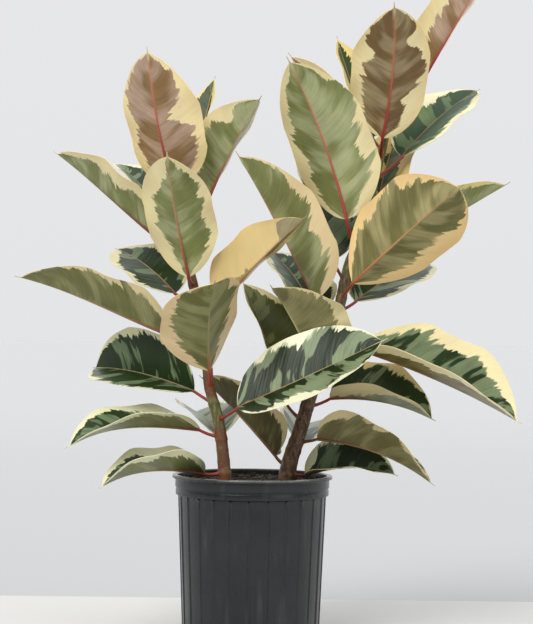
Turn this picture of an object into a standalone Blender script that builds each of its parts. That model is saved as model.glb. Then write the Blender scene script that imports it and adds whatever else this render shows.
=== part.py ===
# Potted rubber plant: a ribbed nursery pot, its soil, two woody stems and their large variegated leaves.
# Metres, +Z up. The origin is the centre of the pot's flat underside, and -Y is the front.
# Tables and driving dimensions are in millimetres and are scaled by MM.
import math

import bmesh
import bpy
from mathutils import Matrix, Vector
from mathutils.bvhtree import BVHTree

MM = 0.001
GAP = 0.3

# Pot
POT_STEPS = 50
LIP_RADIUS = 115.0
LIP_TOP = 237.0
LIP_HEIGHT = 5.0
LIP_EDGE = 1.2
BAND_RADIUS = 110.7
BAND_BOTTOM = 219.5
GROOVE_RADIUS = 109.6
GROOVE_BOTTOM = 217.0
LOWER_BAND_RADIUS = 110.0
LOWER_BAND_BOTTOM = 208.5
BODY_TOP = 207.0
BODY_TOP_RADIUS = 105.0
FOOT_RADIUS = 96.6
FOOT_EDGE = 1.6
WALL = 2.0
RIB_COUNT = 25
RIB_FIRST_ANGLE = -1.7
RIB_WIDTH = 4.0
RIB_PROUD = 1.2
RIB_SUNK = 1.0
RIB_BOTTOM = 14.0
RIB_TOP = 208.0
DRAIN_HOLES = 5
DRAIN_DIAMETER = 12.0
DRAIN_CIRCLE = 60.0

# Soil
SOIL_TOP = 229.0
SOIL_RINGS = 5
SOIL_LUMP = 1.6

# The photograph that the places are read from: focal length and centre in pixels, camera place and tilt in degrees
FOCAL_PIXELS = 1806.0
FRAME_CENTRE = (266.5, 312.0)
CAMERA_PLACE = (17.4, -2600.0, 445.0)
CAMERA_PITCH = 0.57
CAMERA_ROLL = 0.7

# Stems: points of the centre line as column and row of the photograph, each with its depth and the diameter there
STEM_SIDES_SETTING = 3
STEM_SPACING = 22.0
NODE_SWELL = 0.6
NODE_REACH = 9.0
STEM_READINGS = {
    "stem_left": [
        (225, 486, -12, 19), (224, 464, -12, 18), (221.5, 440, -12, 17), (218, 419, -12, 16.5),
        (212.9, 400, -12, 15.5), (209, 384, -12, 15), (207.5, 370, -12, 15), (204, 345, -12, 15),
        (200, 320, -10, 14.5), (195, 295, -10, 14), (190, 270, -8, 13.5), (185, 240, -6, 13),
        (182, 210, -5, 12), (179, 188, -5, 11), (177, 172, -5, 9),
    ],
    "stem_right": [
        (285, 486, -15, 24), (290.5, 460, -15, 23), (299, 434, -15, 21), (310.5, 395, -14, 19.5),
        (321, 365, -12, 18), (330, 340, -12, 17), (339, 310, -12, 16), (344, 285, -12, 15),
        (349, 265, -12, 15), (356, 245, -12, 14), (364, 220, -12, 14), (370, 200, -12, 13),
        (376, 175, -12, 12), (382, 152, -12, 11), (387, 132, -12, 9),
    ],
}
# The buried end, and the two points of the bud, which no reading gives: place and diameter
STEM_ENDS = {
    "stem_left": [(-37, -12, 165, 20), (-116, -5, 690, 5), (-117, -5, 704, 1.6)],
    "stem_right": [(39, -15, 165, 26), (192, -12, 752, 5), (195, -12, 766, 1.6)],
}

# Leaves
BLADE_THICKNESS = 0.8
BLADE_ROWS = (0.0, 0.07, 0.2, 0.36, 0.52, 0.68, 0.82, 0.92, 0.95, 1.0)
BLADE_COLUMNS = 4
PETIOLE_RADIUS = 2.2
MIDRIB_END_RADIUS = 0.8
MIDRIB_ROWS = (0.07, 0.2, 0.36, 0.52, 0.68)
SEAT_POINTS = 12
SEAT_STEPS = 40
WAVE_HEIGHT = 2.2
WAVE_COUNT = 2.5
WAVE_PHASE_STEP = 0.37

# What a leaf has unless its own line says otherwise, with angles in degrees:
# roll turns the blade about its length, fold is how far each half rises from the midrib,
# arch and hook bow the midrib upwards, sweep bows it sideways, twist turns the far end,
# and belly is where along the blade it is widest.
PLAIN_LEAF = dict(roll=0, fold=25, arch=10, hook=0, sweep=0, twist=0, belly=0.5)
# Each line: the row of the leaf's node on its stem, then the blade's base and tip as column, row and depth,
# its width in millimetres and its bends.
LEFT_LEAVES = [
    dict(node=190, base=(174, 190, -40), tip=(147, 47, -110), width=128, fold=20, arch=2, sweep=7),
    dict(node=285, base=(189, 277, -45), tip=(167, 152, -140), width=107, fold=20, sweep=7, belly=0.53),
    dict(node=256, base=(150, 231, -10), tip=(54, 151, 10), width=122, roll=12, fold=34, arch=-1, hook=2),
    dict(node=215, base=(207, 200, -25), tip=(262, 95, -70), width=110, roll=-18, fold=50, arch=4),
    dict(node=172, base=(188, 170, 5), tip=(215, 76, 40), width=56, fold=38, arch=-4),
    dict(node=245, base=(172, 230, 20), tip=(114, 162, 110), width=105),
    dict(node=303, base=(175, 293, 10), tip=(115, 248, 110), width=96, roll=-20, fold=14),
    dict(node=347, base=(166, 333, -12), tip=(15, 276, -20), width=110, roll=20, fold=40, arch=0, hook=5,
         belly=0.47),
    dict(node=388, base=(209, 370, -45), tip=(215, 280, -180), width=132, roll=25, fold=30, belly=0.55),
    dict(node=322, base=(220, 302, -32), tip=(306, 216, -98), width=96, roll=-29, fold=50, arch=3, belly=0.44),
    dict(node=404, base=(194, 391, 8), tip=(93, 368, 110), width=130, roll=-55, fold=50, arch=18, belly=0.53),
    dict(node=438, base=(200, 429, -12), tip=(65, 449, -40), width=114, roll=4, fold=30, arch=12, hook=6,
         twist=-20, belly=0.57),
    dict(node=473, base=(204, 473, -20), tip=(98, 489, -60), width=124, fold=32, arch=12, hook=3),
    dict(node=440, base=(219, 437, 52), tip=(193, 412, 213), width=104, fold=35),
    dict(node=420, base=(238, 407, -75), tip=(388, 338, -125), width=130, roll=48, fold=24, arch=-2, belly=0.53),
]
RIGHT_LEAVES = [
    dict(node=135, base=(420, 84, 5), tip=(492, -36, -50), width=98, roll=-21, fold=50, arch=0),
    dict(node=160, base=(382, 138, -35), tip=(394, 2, -100), width=118, fold=22, sweep=-9, belly=0.52),
    dict(node=150, base=(373, 137, 16), tip=(337, 36, 62), width=92, roll=2, fold=28, arch=-4),
    dict(node=195, base=(359, 181, 0), tip=(288, 52, -4), width=92, roll=25, fold=30),
    dict(node=250, base=(347, 219, -40), tip=(287, 56, -100), width=134, roll=28, fold=22, sweep=-3),
    dict(node=180, base=(402, 156, 0), tip=(480, 89, 110), width=96, roll=17, fold=20),
    dict(node=298, base=(353, 283, -50), tip=(464, 184, -150), width=140, roll=-56, fold=30, belly=0.58),
    dict(node=285, base=(375, 262, 20), tip=(510, 182, -10), width=100, roll=-10, fold=55, arch=0),
    dict(node=325, base=(315, 300, -16), tip=(236, 151, -45), width=130, roll=25, fold=52, arch=4),
    dict(node=282, base=(334, 259, 18), tip=(295, 147, 115), width=104, roll=4, fold=40),
    dict(node=214, base=(377, 211, 22), tip=(401, 128, 90), width=100, fold=20),
    dict(node=312, base=(355, 301, 0), tip=(431, 262, 130), width=112, roll=25, fold=22),
    dict(node=340, base=(315, 315, 20), tip=(270, 251, 130), width=100),
    dict(node=422, base=(287, 404, 0), tip=(241, 279, 34), width=118, roll=-12, fold=40, arch=4),
    dict(node=385, base=(316, 367, -51), tip=(270, 285, -84), width=148, roll=10, fold=42, arch=4, belly=0.4),
    dict(node=358, base=(357, 348, -30), tip=(523, 424, -42), width=136, roll=35, fold=58, arch=8, belly=0.57),
    dict(node=408, base=(330, 398, -8), tip=(436, 421, -18), width=116, roll=24, fold=52, arch=12),
    dict(node=442, base=(317, 438, -30), tip=(435, 486, -60), width=106, roll=-26, fold=40, arch=14, twist=22,
         belly=0.38),
    dict(node=474, base=(305, 474, 2), tip=(398, 476, 5), width=80, roll=40, fold=50, arch=16),
    dict(node=469, base=(276, 455, 0), tip=(199, 375, 40), width=118, roll=35, fold=35, arch=2, belly=0.42),
    dict(node=450, base=(300, 446, 15), tip=(306, 424, 200), width=100, roll=12, fold=40),
]

# Colours, roughness
LOOKS = {
    "pot_plastic": ((0.022, 0.023, 0.027), 0.55),
    "potting_soil": ((0.045, 0.03, 0.02), 0.95),
    "stem_bark": ((0.13, 0.07, 0.04), 0.8),
    "leaf_upper": ((0.36, 0.2, 0.12), 0.35),
    "leaf_middle": ((0.22, 0.24, 0.09), 0.35),
    "leaf_lower": ((0.07, 0.14, 0.05), 0.35),
}
UPPER_FROM = 600
MIDDLE_FROM = 380


def clear_scene():
    for obj in list(bpy.data.objects):
        bpy.data.objects.remove(obj, do_unlink=True)


def make_collection(name, parent=None):
    collection = bpy.data.collections.new(name)
    (parent or bpy.context.scene.collection).children.link(collection)
    return collection


def make_material(name):
    colour, roughness = LOOKS[name]
    material = bpy.data.materials.new(name)
    material.use_nodes = True
    shader = material.node_tree.nodes["Principled BSDF"]
    shader.inputs["Base Color"].default_value = (*colour, 1.0)
    shader.inputs["Roughness"].default_value = roughness
    shader.inputs["Metallic"].default_value = 0.0
    return material


def add_object(name, data, collection, material=None):
    obj = bpy.data.objects.new(name, data)
    collection.objects.link(obj)
    if material:
        data.materials.append(material)
    return obj


def add_helper(name, data):
    obj = add_object(name, data, helpers)
    obj.hide_render = True
    obj.display_type = "WIRE"
    return obj


def smooth(obj):
    obj.data.shade_smooth()
    obj.data.set_sharp_from_angle(angle=math.radians(35))


def boolean(obj, name, operation, other):
    modifier = obj.modifiers.new(name, "BOOLEAN")
    modifier.operation = operation
    modifier.solver = "EXACT"
    if isinstance(other, bpy.types.Collection):
        modifier.operand_type = "COLLECTION"
        modifier.collection = other
    else:
        modifier.object = other


# A profile of (radius, height) points, turned about Z. It runs down the outer side.
def turned(name, profile, steps, collection, material):
    mesh = bpy.data.meshes.new(name)
    points = [(radius * MM, 0.0, height * MM) for radius, height in profile]
    mesh.from_pydata(points, [(i, i + 1) for i in range(len(points) - 1)], [])
    obj = add_object(name, mesh, collection, material)
    screw = obj.modifiers.new("turn", "SCREW")
    screw.steps = screw.render_steps = steps
    screw.use_merge_vertices = True
    screw.merge_threshold = 0.00005
    return obj


# A round tube through points in millimetres, as a closed mesh.
def tube(name, points, radii, sides_setting):
    curve = bpy.data.curves.new(name, "CURVE")
    curve.dimensions = "3D"
    curve.bevel_depth = 1.0
    curve.bevel_resolution = sides_setting
    curve.use_fill_caps = True
    spline = curve.splines.new("POLY")
    spline.points.add(len(points) - 1)
    for spot, point, radius in zip(spline.points, points, radii):
        spot.co = (*(Vector(point) * MM), 1.0)
        spot.radius = radius * MM
    guide = bpy.data.objects.new(name + "_guide", curve)
    helpers.objects.link(guide)
    graph = bpy.context.evaluated_depsgraph_get()
    mesh = bpy.data.meshes.new_from_object(guide.evaluated_get(graph))
    bpy.data.objects.remove(guide, do_unlink=True)
    bpy.data.curves.remove(curve)
    bm = bmesh.new()
    bm.from_mesh(mesh)
    bmesh.ops.remove_doubles(bm, verts=bm.verts, dist=0.00001)
    bmesh.ops.recalc_face_normals(bm, faces=bm.faces)
    bm.to_mesh(mesh)
    bm.free()
    mesh.name = name
    return mesh


def wall_radius(height):
    return FOOT_RADIUS + (BODY_TOP_RADIUS - FOOT_RADIUS) * height / BODY_TOP


# The inside of the pot, from the floor up, kept back from the wall by gap.
def inside_profile(gap, top):
    return [
        (wall_radius(WALL) - WALL - gap - 1.5, WALL + gap),
        (wall_radius(WALL) - WALL - gap, WALL + gap + 1.5),
        (BODY_TOP_RADIUS - WALL - gap, BODY_TOP + WALL + gap),
        (GROOVE_RADIUS - WALL - gap, LOWER_BAND_BOTTOM + WALL + gap),
        (GROOVE_RADIUS - WALL - gap, top),
    ]


def pot_profile():
    inner_edge = GROOVE_RADIUS - WALL
    lip_bottom = LIP_TOP - LIP_HEIGHT
    return [(0.0, WALL)] + inside_profile(0.0, LIP_TOP - LIP_EDGE) + [
        (inner_edge + LIP_EDGE, LIP_TOP),
        (LIP_RADIUS - LIP_EDGE, LIP_TOP),
        (LIP_RADIUS, LIP_TOP - LIP_EDGE),
        (LIP_RADIUS, lip_bottom + LIP_EDGE),
        (LIP_RADIUS - LIP_EDGE, lip_bottom),
        (BAND_RADIUS, lip_bottom),
        (BAND_RADIUS, BAND_BOTTOM),
        (GROOVE_RADIUS, BAND_BOTTOM - 0.5),
        (GROOVE_RADIUS, GROOVE_BOTTOM),
        (LOWER_BAND_RADIUS, GROOVE_BOTTOM - 0.5),
        (LOWER_BAND_RADIUS, LOWER_BAND_BOTTOM),
        (BODY_TOP_RADIUS, BODY_TOP),
        (FOOT_RADIUS, FOOT_EDGE),
        (FOOT_RADIUS - FOOT_EDGE, 0.0),
        (0.0, 0.0),
    ]


# Upright ribs round the body, each a long box leaning with the wall.
def pot_ribs():
    ribs = make_collection("pot_ribs", helpers)
    slope = math.atan((BODY_TOP_RADIUS - FOOT_RADIUS) / BODY_TOP)
    middle = (RIB_BOTTOM + RIB_TOP) / 2
    depth = RIB_PROUD + RIB_SUNK
    mesh = bpy.data.meshes.new("pot_rib")
    bm = bmesh.new()
    bmesh.ops.create_cube(bm, size=MM)
    bmesh.ops.scale(bm, vec=(depth, RIB_WIDTH, (RIB_TOP - RIB_BOTTOM) / math.cos(slope)), verts=bm.verts)
    bm.to_mesh(mesh)
    bm.free()
    out = wall_radius(middle) + (RIB_PROUD - RIB_SUNK) / 2
    for index in range(RIB_COUNT):
        angle = math.radians(RIB_FIRST_ANGLE - 90 + index * 360 / RIB_COUNT)
        rib = bpy.data.objects.new(f"pot_rib_{index + 1:02d}", mesh)
        ribs.objects.link(rib)
        rib.hide_render = True
        rib.display_type = "WIRE"
        place = Matrix.Translation((out * MM, 0.0, middle * MM)) @ Matrix.Rotation(slope, 4, "Y")
        rib.matrix_world = Matrix.Rotation(angle, 4, "Z") @ place
    return ribs


def drain_holes():
    holes = make_collection("drain_holes", helpers)
    mesh = bpy.data.meshes.new("drain_hole")
    bm = bmesh.new()
    radius = DRAIN_DIAMETER / 2 * MM
    bmesh.ops.create_cone(bm, cap_ends=True, segments=12, radius1=radius, radius2=radius, depth=4 * WALL * MM)
    bm.to_mesh(mesh)
    bm.free()
    for index in range(DRAIN_HOLES):
        angle = math.tau * (index + 0.5) / DRAIN_HOLES
        hole = bpy.data.objects.new(f"drain_hole_{index + 1}", mesh)
        holes.objects.link(hole)
        hole.hide_render = True
        hole.display_type = "WIRE"
        hole.location = (DRAIN_CIRCLE * MM * math.cos(angle), DRAIN_CIRCLE * MM * math.sin(angle), 0.0)
    return holes


def make_pot():
    pot = turned("pot", pot_profile(), POT_STEPS, plant, materials["pot_plastic"])
    boolean(pot, "ribs", "UNION", pot_ribs())
    boolean(pot, "drain", "DIFFERENCE", drain_holes())
    smooth(pot)


# Low lumps on the soil, flat where it meets the wall.
def soil_height(x, y):
    reach = math.hypot(x, y) / (GROOVE_RADIUS - WALL)
    lumps = math.sin(x * 0.11 + 1.3) * math.cos(y * 0.13) + 0.6 * math.sin((x - y) * 0.19)
    return SOIL_TOP + SOIL_LUMP * lumps * (1 - reach ** 4)


def make_soil():
    edge = inside_profile(GAP, SOIL_TOP)
    rings = [(edge[-1][0] * (SOIL_RINGS - i) / SOIL_RINGS, SOIL_TOP) for i in range(SOIL_RINGS + 1)]
    outline = rings[::-1] + edge[-2::-1] + [(0.0, edge[0][1])]
    guide = turned("soil_guide", outline, POT_STEPS, helpers, None)
    graph = bpy.context.evaluated_depsgraph_get()
    mesh = bpy.data.meshes.new_from_object(guide.evaluated_get(graph))
    bpy.data.objects.remove(guide, do_unlink=True)
    mesh.name = "soil"
    for vert in mesh.vertices:
        if vert.co.z > (SOIL_TOP - 1) * MM:
            vert.co.z = soil_height(vert.co.x / MM, vert.co.y / MM) * MM
    bm = bmesh.new()
    bm.from_mesh(mesh)
    bmesh.ops.triangulate(bm, faces=bm.faces)
    bm.to_mesh(mesh)
    bm.free()
    soil = add_object("soil", mesh, plant, materials["potting_soil"])
    for name in STEMS:
        points, radii = stem_line(name, grow=GAP, top=SOIL_TOP + 2 * STEM_SPACING)
        cutter = add_helper(name + "_hole", tube(name + "_hole", points, radii, STEM_SIDES_SETTING))
        boolean(soil, name, "DIFFERENCE", cutter)
    smooth(soil)


# The place, in whole millimetres, of what the photograph shows at a column and a row, when its depth is known.
def from_photo(column, row, depth):
    roll, pitch = math.radians(CAMERA_ROLL), math.radians(CAMERA_PITCH)
    across, down = column - FRAME_CENTRE[0], row - FRAME_CENTRE[1]
    x = (across * math.cos(roll) + down * math.sin(roll)) / FOCAL_PIXELS
    y = (down * math.cos(roll) - across * math.sin(roll)) / FOCAL_PIXELS
    reach = (depth - CAMERA_PLACE[1]) / (math.cos(pitch) + math.sin(pitch) * y)
    height = CAMERA_PLACE[2] + (math.sin(pitch) - math.cos(pitch) * y) * reach
    return round(CAMERA_PLACE[0] + x * reach), depth, round(height)


# The height at which a stem crosses a row of the photograph.
def height_at_row(name, row):
    points = STEM_READINGS[name]
    index = max(i for i in range(len(points) - 1) if points[i][1] >= row)
    low, high = points[index], points[index + 1]
    share = (low[1] - row) / (low[1] - high[1])
    return from_photo(low[0] + (high[0] - low[0]) * share, row, low[2] + (high[2] - low[2]) * share)[2]


def stem_points(name):
    buried, *bud = STEM_ENDS[name]
    shown = [(*from_photo(column, row, depth), diameter) for column, row, depth, diameter in STEM_READINGS[name]]
    return [buried, *shown, *bud]


def place_leaf(line, stem):
    places = {key: from_photo(*line[key]) for key in ("base", "tip")}
    return {**PLAIN_LEAF, **line, **places, "node": height_at_row(stem, line["node"])}


# The stem's centre and radius at a height, on a smooth curve through its points.
def stem_at(name, height):
    points = STEMS[name]
    last = len(points) - 2
    index = max(i for i in range(last + 1) if i == 0 or points[i][2] <= height)
    before, start, end, after = (points[min(max(i, 0), last + 1)] for i in (index - 1, index, index + 1, index + 2))
    t = (height - start[2]) / (end[2] - start[2])
    values = []
    for axis in (0, 1, 3):
        rise_in = (end[axis] - before[axis]) / (end[2] - before[2]) * (end[2] - start[2])
        rise_out = (after[axis] - start[axis]) / (after[2] - start[2]) * (end[2] - start[2])
        values.append(
            start[axis] * (1 + 2 * t) * (1 - t) ** 2 + rise_in * t * (1 - t) ** 2
            + end[axis] * t * t * (3 - 2 * t) + rise_out * t * t * (t - 1)
        )
    return Vector((values[0], values[1], height)), values[2] / 2


def stem_nodes(name):
    leaves = LEFT_LEAVES if name == "stem_left" else RIGHT_LEAVES
    return [height_at_row(name, leaf["node"]) for leaf in leaves]


# Points and radii of a stem, which swells a little at each leaf's node, as far up as top.
def stem_line(name, grow=0.0, top=math.inf):
    bottom, bud = STEMS[name][0][2], STEMS[name][-1][2]
    steps = round((bud - bottom) / STEM_SPACING)
    points, radii = [], []
    for height in (bottom + (bud - bottom) * i / steps for i in range(steps + 1)):
        if height > top:
            break
        centre, radius = stem_at(name, height)
        near = min(abs(height - node) for node in stem_nodes(name))
        swell = NODE_SWELL * math.exp(-((near / NODE_REACH) ** 2)) if height > SOIL_TOP else 0.0
        points.append(centre)
        radii.append(radius + swell + grow)
    points[0] = points[0] - Vector((0.0, 0.0, grow))
    return points, radii


def make_stems():
    for name in STEMS:
        points, radii = stem_line(name)
        mesh = tube(name, points, radii, STEM_SIDES_SETTING)
        smooth(add_object(name, mesh, plant, materials["stem_bark"]))
        faces = [polygon.vertices for polygon in mesh.polygons]
        stem_surfaces[name] = BVHTree.FromPolygons([vert.co / MM for vert in mesh.vertices], faces)


# The blade's length direction, its upward direction and its sideways one.
def leaf_axes(leaf):
    along = (Vector(leaf["tip"]) - Vector(leaf["base"])).normalized()
    up = (Vector((0.0, 0.0, 1.0)) - along * along.z).normalized()
    side = along.cross(up)
    roll = math.radians(leaf["roll"])
    return up * math.cos(roll) + side * math.sin(roll), side * math.cos(roll) - up * math.sin(roll)


def midrib_point(leaf, u):
    up, side = leaf_axes(leaf)
    straight = Vector(leaf["base"]).lerp(Vector(leaf["tip"]), u)
    bow = leaf["arch"] * 4 * u * (1 - u) + leaf["hook"] * 6.75 * u * u * (1 - u)
    return straight + up * bow + side * (leaf["sweep"] * 4 * u * (1 - u))


# Along, across and upward directions of the blade at u.
def blade_frame(leaf, u):
    up = leaf_axes(leaf)[0]
    along = (midrib_point(leaf, u + 0.001) - midrib_point(leaf, u - 0.001)).normalized()
    normal = (up - along * along.dot(up)).normalized()
    across = along.cross(normal)
    turn = math.radians(leaf["twist"] * u)
    return (
        along,
        across * math.cos(turn) - normal * math.sin(turn),
        normal * math.cos(turn) + across * math.sin(turn),
    )


# An elliptic blade with a short drip tip.
def half_width(leaf, u):
    x = min(u / 0.955, 1.0) ** (math.log(0.5) / math.log(leaf["belly"]))
    body = min(1.0, 1.07 * (2 * x) ** 0.55 * (2 * (1 - x)) ** 0.72)
    drip_tip = 0.5 * (1 - u)
    return leaf["width"] / 2 * max(body, min(drip_tip, 0.05), 0.02)


# A point of the blade, with u from base to tip and v from one margin to the other.
def blade_point(leaf, u, v):
    across, normal = blade_frame(leaf, u)[1:]
    half = half_width(leaf, u)
    angle = math.radians(leaf["fold"] * (1 - 0.3 * u))
    wave = math.sin(math.tau * (WAVE_COUNT * u + leaf["phase"] + (0.37 if v > 0 else 0.0)))
    rise = abs(v) * half * math.sin(angle) + WAVE_HEIGHT * v * v * wave * 2 * half / leaf["width"]
    return midrib_point(leaf, u) + across * (v * half * math.cos(angle)) + normal * rise


# Slides a petiole's end along its own line until its rim is GAP from the bark.
def seat_on_stem(start, way, stem):
    turn = way.to_track_quat("Z", "Y")
    rim = [turn @ Vector((math.cos(a), math.sin(a), 0.0)) * PETIOLE_RADIUS
           for a in (math.tau * i / SEAT_POINTS for i in range(SEAT_POINTS))]
    for _ in range(SEAT_STEPS):
        nearest = min(stem_surfaces[stem].find_nearest(start + point)[3] for point in rim)
        start = start - way * (nearest - GAP)
    return start


# Petiole from just off the stem to the blade, going on under it as the raised midrib.
def petiole_tube(leaf, name, stem):
    node = stem_at(stem, leaf["node"])[0]
    base = midrib_point(leaf, 0.0) - blade_frame(leaf, 0.0)[2] * PETIOLE_RADIUS
    start = seat_on_stem(base, (base - node).normalized(), stem)
    points = [start, start.lerp(base, 0.6), base]
    radii = [PETIOLE_RADIUS] * 3
    for u in MIDRIB_ROWS:
        radius = PETIOLE_RADIUS + (MIDRIB_END_RADIUS - PETIOLE_RADIUS) * u / MIDRIB_ROWS[-1]
        points.append(midrib_point(leaf, u) - blade_frame(leaf, u)[2] * radius)
        radii.append(radius)
    return tube(name + "_petiole", points, radii, 1)


def leaf_material(height):
    if height > UPPER_FROM:
        return materials["leaf_upper"]
    return materials["leaf_middle" if height > MIDDLE_FROM else "leaf_lower"]


def make_leaf(leaf, name, stem):
    rows = len(BLADE_ROWS) - 1
    bm = bmesh.new()
    bmesh.ops.create_grid(bm, x_segments=rows, y_segments=BLADE_COLUMNS, size=0.5)
    for vert in bm.verts:
        row = round((vert.co.x + 0.5) * rows)
        vert.co = blade_point(leaf, BLADE_ROWS[row], round(vert.co.y * BLADE_COLUMNS) * 2 / BLADE_COLUMNS) * MM
    bmesh.ops.reverse_faces(bm, faces=bm.faces)
    # Triangles come before the thickness, so both faces are split alike.
    bmesh.ops.triangulate(bm, faces=bm.faces)
    mesh = bpy.data.meshes.new(name)
    bm.to_mesh(mesh)
    bm.free()
    blade = add_object(name, mesh, plant, leaf_material(leaf["base"][2]))
    shell = blade.modifiers.new("thickness", "SOLIDIFY")
    shell.thickness = BLADE_THICKNESS * MM
    shell.offset = 0.0
    boolean(blade, "petiole", "UNION", add_helper(name + "_petiole", petiole_tube(leaf, name, stem)))
    smooth(blade)


def make_leaves():
    for side, leaves in (("left", LEFT_LEAVES), ("right", RIGHT_LEAVES)):
        for index, line in enumerate(leaves):
            leaf = {**place_leaf(line, "stem_" + side), "phase": index * WAVE_PHASE_STEP % 1.0}
            make_leaf(leaf, f"leaf_{side}_{index + 1:02d}", "stem_" + side)


clear_scene()
plant = make_collection("potted_rubber_plant")
helpers = make_collection("cutters_and_guides")
helpers.hide_render = True
materials = {name: make_material(name) for name in LOOKS}
STEMS = {name: stem_points(name) for name in STEM_READINGS}
stem_surfaces = {}
make_pot()
make_soil()
make_stems()
make_leaves()
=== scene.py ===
import bmesh
import bpy
import math
import random
from mathutils import Matrix, Vector, noise


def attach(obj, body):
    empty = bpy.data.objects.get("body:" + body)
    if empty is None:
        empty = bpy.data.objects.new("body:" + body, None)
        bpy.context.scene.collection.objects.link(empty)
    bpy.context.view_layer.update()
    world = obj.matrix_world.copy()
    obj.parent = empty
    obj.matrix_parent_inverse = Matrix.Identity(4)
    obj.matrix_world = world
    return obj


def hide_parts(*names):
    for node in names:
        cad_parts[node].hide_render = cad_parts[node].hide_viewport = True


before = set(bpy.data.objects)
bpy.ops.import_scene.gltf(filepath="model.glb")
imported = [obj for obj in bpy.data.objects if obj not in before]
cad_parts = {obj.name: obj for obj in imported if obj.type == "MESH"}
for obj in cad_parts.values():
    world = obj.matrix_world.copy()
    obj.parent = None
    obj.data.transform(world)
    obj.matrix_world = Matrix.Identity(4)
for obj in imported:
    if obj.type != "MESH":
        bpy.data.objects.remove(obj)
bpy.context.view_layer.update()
print("frame loaded:", len(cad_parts), "nodes")

mm = 0.001
luck = random.Random(11)


def tone(red, green, blue):  # a colour as seen on screen, 0 to 255, as linear light
    parts = (red, green, blue)
    return tuple(((part / 255 + 0.055) / 1.055) ** 2.4 if part > 10 else part / 3295 for part in parts)


def blend(start, end, share):
    return tuple(a + (b - a) * share for a, b in zip(start, end))


def between(values, u):  # reads evenly spaced values along 0 to 1, smoothly
    place = min(max(u, 0.0), 0.9999) * (len(values) - 1)
    index = int(place)
    share = place - index
    share = share * share * (3 - 2 * share)
    return values[index] + (values[index + 1] - values[index]) * share


def smoothStep(low, high, value):
    share = min(max((value - low) / (high - low), 0.0), 1.0)
    return share * share * (3 - 2 * share)


# material helper

class NodeDesk:
    def __init__(self, name):
        self.material = bpy.data.materials.new(name)
        self.material.use_nodes = True
        self.tree = self.material.node_tree
        self.shader = self.tree.nodes["Principled BSDF"]

    def put(self, socket, value):
        if isinstance(value, bpy.types.NodeSocket):
            self.tree.links.new(value, socket)
        elif value is not None:
            socket.default_value = value

    def add(self, kind, inputs=None, **settings):
        node = self.tree.nodes.new(kind)
        for key, value in settings.items():
            setattr(node, key, value)
        for key, value in (inputs or {}).items():
            self.put(node.inputs[key], value)
        return node

    def calc(self, operation, first, second=None, third=None):
        node = self.add("ShaderNodeMath", operation=operation)
        for socket, value in zip(node.inputs, (first, second, third)):
            self.put(socket, value)
        return node.outputs[0]

    def attribute(self, name, output="Fac"):
        return self.add("ShaderNodeAttribute", attribute_name=name).outputs[output]

    def ramp(self, value, low, high, start=0.0, end=1.0):
        node = self.add("ShaderNodeMapRange", interpolation_type="SMOOTHSTEP")
        labels = ("Value", "From Min", "From Max", "To Min", "To Max")
        for key, entry in zip(labels, (value, low, high, start, end)):
            self.put(node.inputs[key], entry)
        return node.outputs["Result"]

    def mix(self, share, first, second, kind="MIX"):
        node = self.add("ShaderNodeMix", data_type="RGBA", blend_type=kind, clamp_factor=True)
        self.put(node.inputs[0], share)
        for socket, value in ((node.inputs[6], first), (node.inputs[7], second)):
            self.put(socket, (*value, 1.0) if isinstance(value, tuple) and len(value) == 3 else value)
        return node.outputs[2]

    def vector(self, x, y, z):
        node = self.add("ShaderNodeCombineXYZ")
        for socket, value in zip(node.inputs, (x, y, z)):
            self.put(socket, value)
        return node.outputs[0]

    def cloud(self, place, scale=1.0, detail=2.0, rough=0.5):
        inputs = {"Vector": place, "Scale": scale, "Detail": detail, "Roughness": rough}
        return self.add("ShaderNodeTexNoise", inputs).outputs["Fac"]

    def brighten(self, colour, factor):
        node = self.add("ShaderNodeVectorMath", operation="SCALE")
        self.put(node.inputs[0], colour)
        self.put(node.inputs["Scale"], factor)
        return node.outputs[0]

    def bump(self, height, strength, distance):
        node = self.add("ShaderNodeBump", {"Height": height, "Strength": strength, "Distance": distance})
        self.put(self.shader.inputs["Normal"], node.outputs["Normal"])


def addPiece(name, bm, material, node, smooth=50):
    mesh = bpy.data.meshes.new(name)
    bm.to_mesh(mesh)
    bm.free()
    mesh.shade_smooth()
    mesh.set_sharp_from_angle(angle=math.radians(smooth))
    mesh.materials.append(material)
    piece = bpy.data.objects.new(name, mesh)
    bpy.context.scene.collection.objects.link(piece)
    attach(piece, "root")
    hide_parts(node)
    return piece


# leaves

# How the photograph was taken, in pixels, millimetres and degrees. Leaves, stems and camera use it.
photoView = dict(
    focalPixels=1806.0, centre=(266.5, 312.0), height=624.0,
    place=(17.4, -2600.0, 445.0), pitch=0.57, roll=0.7,
)
leafBuild = dict(
    rows=64, columns=30, thickness=0.7, columnPower=1.5, foldEase=0.3,
    petioleRadius=2.2, petioleStep=4.0, petioleSag=1.2, flare=0.7, flareReach=4.0,
    ribTipRadius=0.3, ribSides=10, ribRows=44, ribEnd=0.97, ribTaper=1.3, ribSink=0.5,
    waveHeight=2.2, waveCount=2.5, wavePhaseStep=0.37, waveHalfShift=0.37,
    measures=("along", "across", "offRib", "reach", "upperSide", "ribPart", "leafSeed", "blotch", "redness",
              "veil"),
    tones=("deepTone", "paleTone", "edgeTone", "rimTone", "ribTone"),
)
plainLeaf = dict(
    roll=0, fold=25, arch=10, hook=0, sweep=0, twist=0, belly=0.5, blotch=0.35, red=0.3, redEnd=0.6, veil=0.5,
    plus=(0.8, 0.85, 0.8, 0.6), minus=(0.8, 0.85, 0.8, 0.6), tones={},
)

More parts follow.
